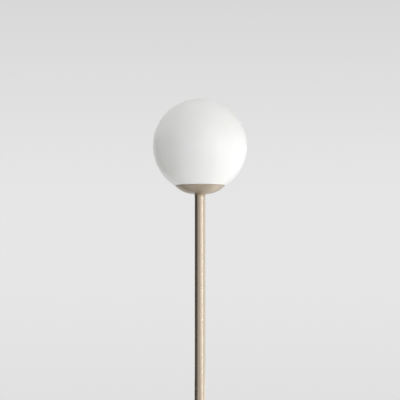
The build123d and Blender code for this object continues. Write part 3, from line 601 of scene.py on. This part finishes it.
def cup_shape():
    """Flat bottom, one smooth arc to the rim, a rolled lip and the same again inside."""
    _, bottom, rim = span("lamp_cup")
    centre, outer = cup_arc()
    inner = outer - CUP_WALL
    lip_out = arc_angle(centre, rim, outer)
    lip_in = arc_angle(centre, rim, inner)
    return turned_shape(np.vstack((
        row(CUP_HOLE_RADIUS, bottom, CUP_WALL / 4),
        arc(centre, outer, DOWNWARDS, lip_out, count=48, ease_last=CUP_LIP),
        arc(centre, inner, lip_in, DOWNWARDS, count=48, ease_first=CUP_LIP),
        row(CUP_HOLE_RADIUS, bottom + CUP_WALL, CUP_WALL / 4),
    )), steps=192)


def ring_shape(node, inner_radius, ease, steps=128):
    """Plain ring with softened edges."""
    radius, bottom, top = span(node)
    return turned_shape(np.vstack((
        row(inner_radius, bottom, ease),
        row(radius, bottom, ease),
        row(radius, top, ease),
        row(inner_radius, top, ease),
    )), steps=steps)


def pole_shape(node):
    """Round tube with its two ends just broken."""
    return ring_shape(node, span(node)[0] - TUBE_WALL, TUBE_EDGE, steps=144)


# ---------------------------------------------------------------- foot
def cover_shape():
    """Flat top, rounded edge and straight side of the foot, with the wall carried round inside."""
    radius, bottom, top = span("base_cover")
    inner = radius - COVER_WALL
    edge = (radius - COVER_EDGE_RADIUS, top - COVER_EDGE_RADIUS)
    return turned_shape(np.vstack((
        row(inner, bottom, COVER_WALL / 5),
        row(radius, bottom, COVER_WALL / 5),
        arc(edge, COVER_EDGE_RADIUS, 0, UPWARDS, count=14),
        row(COVER_HOLE_RADIUS, top, COVER_WALL / 5),
        row(COVER_HOLE_RADIUS, top - COVER_WALL, COVER_WALL / 5),
        arc(edge, COVER_EDGE_RADIUS - COVER_WALL, UPWARDS, 0, count=8),
    )), steps=288)


def cut_inlet_hole(cover):
    """Cuts the round hole for the cord bush through the back of the cover."""
    low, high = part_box("cord_bush")
    bush_radius = (high.x - low.x) / 2 - BUSH_LIP
    reach = high.y - low.y
    cutter_rows = np.vstack((
        row(0, low.y),
        row(bush_radius, low.y),
        row(bush_radius, high.y + reach),
        row(0, high.y + reach),
    ))
    cutter = mesh_object("inlet_cutter", about_y(turned_shape(cutter_rows, steps=48), (low.z + high.z) / 2))
    cut = cover.modifiers.new("inlet", "BOOLEAN")
    cut.object = cutter
    cut.solver = "EXACT"
    bpy.context.view_layer.update()
    ready = cover.evaluated_get(bpy.context.evaluated_depsgraph_get())
    finished = bpy.data.meshes.new_from_object(ready)
    cover.modifiers.remove(cut)
    cover.data = finished
    bpy.data.objects.remove(cutter)


def bush_shape():
    """Bush on the cord's axis: a lip inside the cover, a tube through it and a rounded mouth."""
    low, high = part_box("cord_bush")
    lip_radius = (high.x - low.x) / 2
    tube_radius = lip_radius - BUSH_LIP
    lip_end = low.y + BUSH_LIP_LENGTH
    rows = np.vstack((
        row(BUSH_BORE_RADIUS, low.y, SMALL_EDGE),
        row(lip_radius, low.y, SMALL_EDGE),
        row(lip_radius, lip_end, SMALL_EDGE),
        row(tube_radius, lip_end, BROKEN_EDGE),
        row(tube_radius, high.y, FINE_EDGE),
        row(BUSH_BORE_RADIUS, high.y, MOUTH_EDGE),
    ))
    return about_y(turned_shape(rows, steps=64), (low.z + high.z) / 2)


# ---------------------------------------------------------------- lampholder and bulb
def thread_swing(height):
    """Centre of the rounded thread's circle: it goes round once per pitch."""
    angle = 2 * np.pi * height / THREAD_PITCH
    return THREAD_OFFSET * np.cos(angle), THREAD_OFFSET * np.sin(angle)


def threaded_tube(radius, bottom, top):
    """Two skins of a rounded screw thread, joined at both ends."""
    count = int((top - bottom) / THREAD_PITCH * THREAD_STEPS)
    up = np.linspace(bottom, top, count)
    outside = np.column_stack((np.full(count, radius), up, np.zeros(count)))
    inside = np.column_stack((np.full(count, radius - THREAD_WALL), up[::-1], np.zeros(count)))
    return np.vstack((outside, inside))


def screw_shell_shape():
    """Threaded shell of the lampholder."""
    _, bottom, top = span("screw_shell")
    return turned_shape(threaded_tube(SHELL_THREAD_RADIUS, bottom, top), steps=72, swing=thread_swing)


def bulb_cap_shape():
    """Threaded cap; above the thread its circle comes back to the axis and widens into the skirt."""
    radius, bottom, top = span("bulb_cap")
    thread_top = top - CAP_SKIRT_HEIGHT
    rows = threaded_tube(CAP_THREAD_RADIUS, bottom, thread_top)
    half = len(rows) // 2
    skirt = np.vstack((
        row(radius, thread_top, FINE_EDGE),
        row(radius, top, FINE_EDGE),
        row(CAP_THREAD_RADIUS - THREAD_WALL - THREAD_OFFSET, top, BROKEN_EDGE),
    ))

    def swing(height):
        x, y = thread_swing(height)
        free = height < thread_top - SAME_PLACE
        return x * free, y * free

    return turned_shape(np.vstack((rows[:half - 1], skirt, rows[half + 1:])), steps=72, swing=swing)


def dome_shape():
    """Frosted dome: a ball cut off at the seam, with its wall carried round inside."""
    radius, bottom, top = span("bulb_dome")
    centre = (0.0, top - radius)
    inner = radius - BULB_WALL
    return turned_shape(np.vstack((
        arc(centre, radius, UPWARDS, arc_angle(centre, bottom, radius), count=64, ease_last=FINE_EDGE),
        arc(centre, inner, arc_angle(centre, bottom, inner), UPWARDS, count=48, ease_first=FINE_EDGE),
    )), steps=128)


def climb(low_radius, low, high_radius, high, count):
    """Rows straight up the side of a cylinder or a cone."""
    part = np.linspace(0, 1, count)
    radius = low_radius + part * (high_radius - low_radius)
    height = low + part * (high - low)
    return np.column_stack((radius, height, np.zeros(count)))


def grooves(count, depth, low, high, within):
    """Upright grooves in the surface outside within(z), deepest halfway up and gone at both ends.

    The cut is depth times sqrt(4 (z - low)(high - z)) / (high - low) times ((1 - cos(count t)) / 2)^2.
    """
    def cut(radius, height, turn):
        rise = np.clip(4 * (height - low) * (high - height) / (high - low) ** 2, 0, 1)
        wave = (0.5 - 0.5 * np.cos(count * turn)) ** 2
        return -depth * np.sqrt(rise) * wave * (radius > within(height))
    return cut


def bulb_collar_shape():
    """Hollow cone of the bulb's body with shallow grooves, a floor and a ledge for the round board."""
    radius, bottom, top = span("bulb_collar")
    board_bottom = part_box("led_board")[0].z
    wall = BULB_BODY_WALL
    foot = BULB_FOOT_RADIUS
    floor = bottom + wall
    slope = (radius - foot - wall) / (top - floor)
    rows = np.vstack((
        row(0, bottom),
        row(foot, bottom, SMALL_EDGE),
        climb(foot + wall, floor, radius, top, count=28),
        row(radius - wall, top, FINE_EDGE),
        row(radius - wall, board_bottom),
        row(radius - 2 * wall, board_bottom),
        row(foot, floor, SMALL_EDGE),
        row(0, floor),
    ))
    cut = grooves(COLLAR_GROOVES, COLLAR_GROOVE_DEPTH, floor + wall, top - wall,
                  lambda height: foot + wall / 2 + slope * (height - floor))
    return turned_shape(rows, steps=COLLAR_GROOVES * STEPS_PER_COLLAR_GROOVE, ribs=cut)


def flare(start, slope, end, count):
    """Arc that leaves a corner with a given slope and ends in another corner."""
    across = np.array([-slope, 1.0]) / np.hypot(slope, 1.0)
    chord = np.subtract(end, start)
    radius = chord @ chord / (2 * chord @ across)
    centre = np.array(start) + radius * across
    spokes = np.array((start, end)) - centre
    first, last = np.degrees(np.arctan2(spokes[:, 1], spokes[:, 0]))
    return arc(centre, radius, first, last, count)


def holder_cap_shape():
    """Lower half of the lampholder: round shoulder, grooved side, hole and the chamber for the leads."""
    radius, bottom, top = span("lampholder_cap")
    carrier_radius, carrier_bottom, _ = span("contact_carrier")
    pocket = carrier_radius + HOLDER_SLIP
    shoulder = bottom + HOLDER_SHOULDER
    floor = bottom + HOLDER_FLOOR
    rows = np.vstack((
        row(HOLDER_HOLE_RADIUS, bottom, FINE_EDGE),
        flare((HOLDER_FOOT_RADIUS, bottom), HOLDER_FLARE, (radius, shoulder), count=16),
        climb(radius, shoulder, radius, top, count=12)[1:-1],
        row(radius, top, SOFT_EDGE),
        row(pocket, top),
        row(pocket, carrier_bottom),
        row(carrier_radius - HOLDER_LEDGE, carrier_bottom),
        row(carrier_radius - HOLDER_LEDGE, floor, ROUND_EDGE),
        row(HOLDER_HOLE_RADIUS, floor),
    ))
    cut = grooves(HOLDER_GROOVES, HOLDER_GROOVE_DEPTH, shoulder, top - HOLDER_LEDGE,
                  lambda height: carrier_radius + HOLDER_LEDGE)
    return turned_shape(rows, steps=HOLDER_GROOVES * STEPS_PER_HOLDER_GROOVE, ribs=cut)


def holder_body_shape():
    """Upper half of the lampholder: grooved side, rounded top edge and the bore round the screw shell."""
    radius, bottom, top = span("lampholder_body")
    carrier_radius, _, carrier_top = span("contact_carrier")
    pocket = carrier_radius + HOLDER_SLIP
    rows = np.vstack((
        row(pocket, bottom),
        row(radius, bottom, SOFT_EDGE),
        climb(radius, bottom + HOLDER_LEDGE, radius, top - HOLDER_SHOULDER, count=20),
        row(radius, top, HOLDER_EDGE),
        row(HOLDER_BORE_RADIUS, top, SOFT_EDGE),
        row(HOLDER_BORE_RADIUS, carrier_top),
        row(pocket, carrier_top),
    ))
    cut = grooves(HOLDER_GROOVES, HOLDER_GROOVE_DEPTH, bottom + HOLDER_LEDGE, top - HOLDER_SHOULDER,
                  lambda height: carrier_radius + HOLDER_LEDGE)
    return turned_shape(rows, steps=HOLDER_GROOVES * STEPS_PER_HOLDER_GROOVE, ribs=cut)


def clips_shape():
    """Three bent spring strips: flat foot on the gallery, then out and up inside the hole of the glass."""
    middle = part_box("gallery_plate")[1].z + CLIP_THICKNESS / 2
    gallery_radius = span("gallery_plate")[0]
    glass_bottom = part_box("glass_globe")[0].z
    reach = GLASS_HOLE_RADIUS - CLIP_GAP - CLIP_THICKNESS / 2
    tip = glass_bottom + CLIP_RISE
    path = bent_path((
        (gallery_radius - CLIP_FOOT_LENGTH, middle),
        (gallery_radius, middle),
        (reach, glass_bottom - 2 * CLIP_THICKNESS),
        (reach, tip - CLIP_RISE / 3),
        (reach - CLIP_RISE / 2, tip + CLIP_RISE / 3),
    ), CLIP_THICKNESS)
    return repeated(strip_shape(path, CLIP_WIDTH, CLIP_THICKNESS), CLIP_COUNT, CLIP_START)


def dress_cad_nodes(finish):
    """Gives every CAD node that stays in view the finish of its slot."""
    slots = {part["node"]: part["material_slot"] for part in frame["record"]["subparts"]}
    for name, node in frame["nodes"].items():
        node.data.materials.clear()
        node.data.materials.append(finish[slots[name]])


def make_pieces(finish):
    """Every piece that stands for a CAD node; two of them have a look of their own for the same slot."""
    def make(name, node, shape, slot, look=None):
        return piece(name, shape, finish[look or slot], node)

    make("globe", "glass_globe", globe_shape(), "opal_glass")
    make("cup", "lamp_cup", cup_shape(), "sand_lacquer", look="soft_lacquer")
    collar = ring_shape("neck_collar", CUP_HOLE_RADIUS, SMALL_EDGE, steps=144)
    make("collar", "neck_collar", collar, "sand_lacquer", look="dull_lacquer")
    make("pole_upper", "upper_pole", pole_shape("upper_pole"), "sand_lacquer")
    make("pole_lower", "lower_pole", pole_shape("lower_pole"), "sand_lacquer")
    cover = make("foot_cover", "base_cover", cover_shape(), "sand_lacquer")
    cut_inlet_hole(cover)
    make("inlet_bush", "cord_bush", bush_shape(), "black_plastic")
    make("shell", "screw_shell", screw_shell_shape(), "brass")
    make("cap", "bulb_cap", bulb_cap_shape(), "nickel_cap")
    make("bulb_body", "bulb_collar", bulb_collar_shape(), "white_plastic")
    make("holder_cap", "lampholder_cap", holder_cap_shape(), "black_plastic")
    make("holder_body", "lampholder_body", holder_body_shape(), "black_plastic")
    make("clips", "spring_clips", clips_shape(), "spring_steel")
    make("gallery", "gallery_plate", ring_shape("gallery_plate", CUP_HOLE_RADIUS, SMALL_EDGE), "zinc_steel")
    make("dome", "bulb_dome", dome_shape(), "bulb_white")


# ---------------------------------------------------------------- floor, backdrop, light and camera
FLOOR_GLOW = (0.75, 0.75, 0.75)
BACKDROP_FROM = -0.1       # sine of the lowest and the highest elevation of the backdrop's fade
BACKDROP_TO = 0.2
BACKDROP_RAMP = ((0.0, 0.738), (0.16, 0.755), (0.4, 0.805), (0.62, 0.775), (0.85, 0.69), (1.0, 0.66))
STUDIO_LOW = (0.46, 0.457, 0.44)
STUDIO_HIGH = (0.92, 0.925, 0.91)
STUDIO_TOP = 0.8           # sine of the elevation from which the studio is at its lightest
FLOOR_COLOUR = (0.78, 0.78, 0.78)
FLOOR_RADIUS = 12.0
FLOOR_THICKNESS = 0.02
FLOOR_ROUGHNESS = 0.9
FLOOR_SHINE = 0.1
FLOOR_NEAR = 0.35
FLOOR_FAR = 1.3
WORLD_LEVEL = 0.85
CAMERA_DISTANCE = 4.0
CAMERA_HEIGHT = 1.059
AIM_HEIGHT = 1.2635        # height on the lamp's axis that the middle of the picture shows
VIEW_WIDTH = 0.932         # width that the picture shows at the lamp's axis
SENSOR = 36.0


def seen_directly(material):
    """1 for what the camera sees, directly or mirrored in metal or glass."""
    path = add_node(material, "ShaderNodeLightPath")
    mirrored = add_node(material, "ShaderNodeMath", operation="MAXIMUM")
    link(material, path.outputs["Is Glossy Ray"], mirrored.inputs[0])
    link(material, path.outputs["Is Transmission Ray"], mirrored.inputs[1])
    either = add_node(material, "ShaderNodeMath", operation="MAXIMUM")
    link(material, path.outputs["Is Camera Ray"], either.inputs[0])
    link(material, mirrored.outputs["Value"], either.inputs[1])
    return either.outputs["Value"]


def make_floor():
    """Pale floor that takes the lamp's shadow and runs into the backdrop's tone further out."""
    floor = mesh_object("floor", turned_shape(np.vstack((
        row(0, -FLOOR_THICKNESS),
        row(FLOOR_RADIUS, -FLOOR_THICKNESS),
        row(FLOOR_RADIUS, 0),
        row(0, 0),
    )), steps=96))
    material, shader = finish_named("pale_floor")
    shader.inputs["Base Color"].default_value = (*FLOOR_COLOUR, 1)
    shader.inputs["Roughness"].default_value = FLOOR_ROUGHNESS
    shader.inputs["Specular IOR Level"].default_value = FLOOR_SHINE
    glow = add_node(material, "ShaderNodeEmission")
    glow.inputs["Color"].default_value = (*FLOOR_GLOW, 1)
    distance = add_node(material, "ShaderNodeVectorMath", operation="LENGTH")
    link(material, object_place(material), distance.inputs[0])
    outward = between(material, distance.outputs["Value"], 0, 1, FLOOR_NEAR, FLOOR_FAR)
    factor = add_node(material, "ShaderNodeMath", operation="MULTIPLY")
    link(material, outward, factor.inputs[0])
    link(material, seen_directly(material), factor.inputs[1])
    mix = add_node(material, "ShaderNodeMixShader")
    link(material, factor.outputs["Value"], mix.inputs["Fac"])
    link(material, shader.outputs["BSDF"], mix.inputs[1])
    link(material, glow.outputs["Emission"], mix.inputs[2])
    link(material, mix.outputs["Shader"], material.node_tree.nodes["Material Output"].inputs["Surface"])
    floor.data.materials.append(material)


def backdrop_tones(material, height):
    """The backdrop's grey: lightest a little over the horizon, and darker above it and below it."""
    ramp = add_node(material, "ShaderNodeValToRGB")
    ramp.color_ramp.interpolation = "B_SPLINE"
    stops = ramp.color_ramp.elements
    stops[0].position = BACKDROP_RAMP[0][0]
    stops[0].color = (BACKDROP_RAMP[0][1],) * 3 + (1,)
    stops[1].position = BACKDROP_RAMP[-1][0]
    stops[1].color = (BACKDROP_RAMP[-1][1],) * 3 + (1,)
    for position, grey in BACKDROP_RAMP[1:-1]:
        stops.new(position).color = (grey, grey, grey, 1)
    link(material, between(material, height, 0, 1, BACKDROP_FROM, BACKDROP_TO), ramp.inputs["Fac"])
    return ramp.outputs["Color"]


def make_world():
    """Pale studio all round: its light grows upwards, and the camera sees the backdrop's fade instead."""
    world = bpy.data.worlds.new("studio")
    world.use_nodes = True
    bpy.context.scene.world = world
    coordinates = add_node(world, "ShaderNodeTexCoord")
    axes = add_node(world, "ShaderNodeSeparateXYZ")
    link(world, coordinates.outputs["Generated"], axes.inputs["Vector"])
    light = world.node_tree.nodes["Background"]
    light.inputs["Strength"].default_value = WORLD_LEVEL
    studio = tones(world, axes.outputs["Z"], STUDIO_LOW, STUDIO_HIGH, from_low=0.0, from_high=STUDIO_TOP)
    link(world, studio, light.inputs["Color"])
    seen = add_node(world, "ShaderNodeBackground")
    link(world, backdrop_tones(world, axes.outputs["Z"]), seen.inputs["Color"])
    mix = add_node(world, "ShaderNodeMixShader")
    link(world, seen_directly(world), mix.inputs["Fac"])
    link(world, light.outputs["Background"], mix.inputs[1])
    link(world, seen.outputs["Background"], mix.inputs[2])
    link(world, mix.outputs["Shader"], world.node_tree.nodes["World Output"].inputs["Surface"])


def around_lamp(bearing, distance, height):
    """A place round the lamp; bearing 0 is the camera's side and 90 its right."""
    angle = np.radians(bearing)
    return (distance * np.sin(angle), -distance * np.cos(angle), height)


def face_lamp(thing, place, aim_height):
    """Puts a thing in its place and turns its -Z to the lamp's axis."""
    towards = Vector((0, 0, aim_height)) - Vector(place)
    thing.location = place
    thing.rotation_euler = towards.to_track_quat("-Z", "Y").to_euler()


def softbox(name, bearing, distance, height, width, tall, watts, aim_height=1.2, mirrored=True):
    """Rectangular light aimed at the lamp's axis; mirrored says whether metal and glass show it."""
    data = bpy.data.lights.new(name, "AREA")
    data.shape = "RECTANGLE"
    data.size = width
    data.size_y = tall
    data.energy = watts
    made = into_scene(name, data)
    face_lamp(made, around_lamp(bearing, distance, height), aim_height)
    made.visible_camera = False
    made.visible_glossy = mirrored


def mirrored_card(name, bearing, distance, height, width, tall, level):
    """Upright card that shows only as a mirror image in the metal and the glass; level 0 is black."""
    x = width / 2
    y = tall / 2
    card = mesh_object(name, (np.array([(-x, -y, 0), (x, -y, 0), (x, y, 0), (-x, y, 0)]), [(0, 1, 2, 3)]))
    face_lamp(card, around_lamp(bearing, distance, height), height)
    material, shader = finish_named(name)
    shader.inputs["Base Color"].default_value = (0, 0, 0, 1)
    shader.inputs["Specular IOR Level"].default_value = 0
    shader.inputs["Emission Color"].default_value = (1, 1, 1, 1)
    shader.inputs["Emission Strength"].default_value = level
    card.data.materials.append(material)
    card.visible_camera = False
    card.visible_diffuse = False
    card.visible_shadow = False


def make_lights():
    """A narrow strip and two broad walls on the right, and two low lights that metal and glass don't show."""
    softbox("key_strip", bearing=50, distance=2.4, height=1.3, width=0.4, tall=2.2, watts=9.2)
    softbox("side_wall", bearing=85, distance=2.4, height=1.4, width=4.6, tall=2.0, watts=8)
    softbox("front_wall", bearing=28, distance=2.4, height=1.6, width=2.2, tall=2.0, watts=9.8)
    softbox("low_front", bearing=60, distance=0.9, height=0.5, width=0.9, tall=1.0, watts=2.4,
            aim_height=1.3, mirrored=False)
    softbox("low_back", bearing=120, distance=0.9, height=0.5, width=0.9, tall=1.0, watts=1.7,
            aim_height=1.3, mirrored=False)


def make_cards():
    """Black cards on the left give the metal its dark side, and pale ones on the right its light side."""
    mirrored_card("left_card", bearing=-95, distance=0.8, height=1.1, width=1.5, tall=1.0, level=0)
    mirrored_card("low_card", bearing=-145, distance=0.6, height=0.66, width=0.7, tall=0.3, level=0)
    mirrored_card("right_card", bearing=102, distance=0.8, height=1.1, width=1.25, tall=1.0, level=1.25)
    mirrored_card("low_right_card", bearing=120, distance=0.6, height=0.62, width=1.0, tall=0.4, level=1.6)


def make_camera():
    """Camera at the photograph's angle: lower than the cup and tilted a little up."""
    data = bpy.data.cameras.new("camera")
    data.sensor_width = SENSOR
    place = (0, -CAMERA_DISTANCE, CAMERA_HEIGHT)
    aim_distance = np.hypot(CAMERA_DISTANCE, AIM_HEIGHT - CAMERA_HEIGHT)
    data.lens = SENSOR * aim_distance / VIEW_WIDTH
    camera = into_scene("camera", data)
    face_lamp(camera, place, AIM_HEIGHT)
    bpy.context.scene.camera = camera


finish = finishes()
dress_cad_nodes(finish)
make_pieces(finish)
make_floor()
make_world()
make_lights()
make_cards()
make_camera()
bpy.context.scene.view_settings.view_transform = "Standard"
